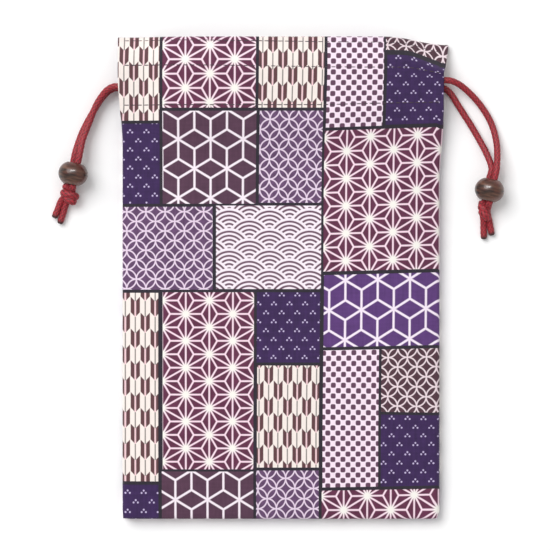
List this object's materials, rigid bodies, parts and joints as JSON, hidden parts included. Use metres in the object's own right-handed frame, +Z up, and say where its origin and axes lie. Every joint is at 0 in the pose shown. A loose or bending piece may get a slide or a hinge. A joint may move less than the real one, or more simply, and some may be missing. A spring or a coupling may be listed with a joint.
{
  "type": "drawstring bag",
  "caption": "Flat printed cotton pouch with a cord channel at its mouth, a drawstring out of each side slit, and a sliding wooden bead and a knot on each drawstring.",
  "frame": {"origin": "under the middle of the bag's own box, on the surface that the bag lies on", "axes": "+Z up from the surface, +Y from the bag's foot towards its mouth, +X to the right as the front is seen"},
  "size_m": [0.2147, 0.2281, 0.0152],
  "materials": {
    "printed_cloth": "plain-woven cotton, printed",
    "cord": "round braid",
    "bead_wood": "polished",
    "thread": "twisted sewing thread"
  },
  "bodies": {
    "bag": {"front_panel": "printed_cloth", "back_panel": "printed_cloth", "drawstring_left": "cord", "drawstring_right": "cord", "knot_left": "cord", "knot_right": "cord"},
    "left_bead": {"bead_left": "bead_wood"},
    "right_bead": {"bead_right": "bead_wood"}
  },
  "joints": [
    {"name": "left_bead_slide", "type": "slide", "parent": "bag", "child": "left_bead", "axis": [0.2079, 0.9781, 0], "range_m": [0, 0.005]},
    {"name": "right_bead_slide", "type": "slide", "parent": "bag", "child": "right_bead", "axis": [0.2079, 0.9781, 0], "range_m": [0, 0.005]}
  ]
}
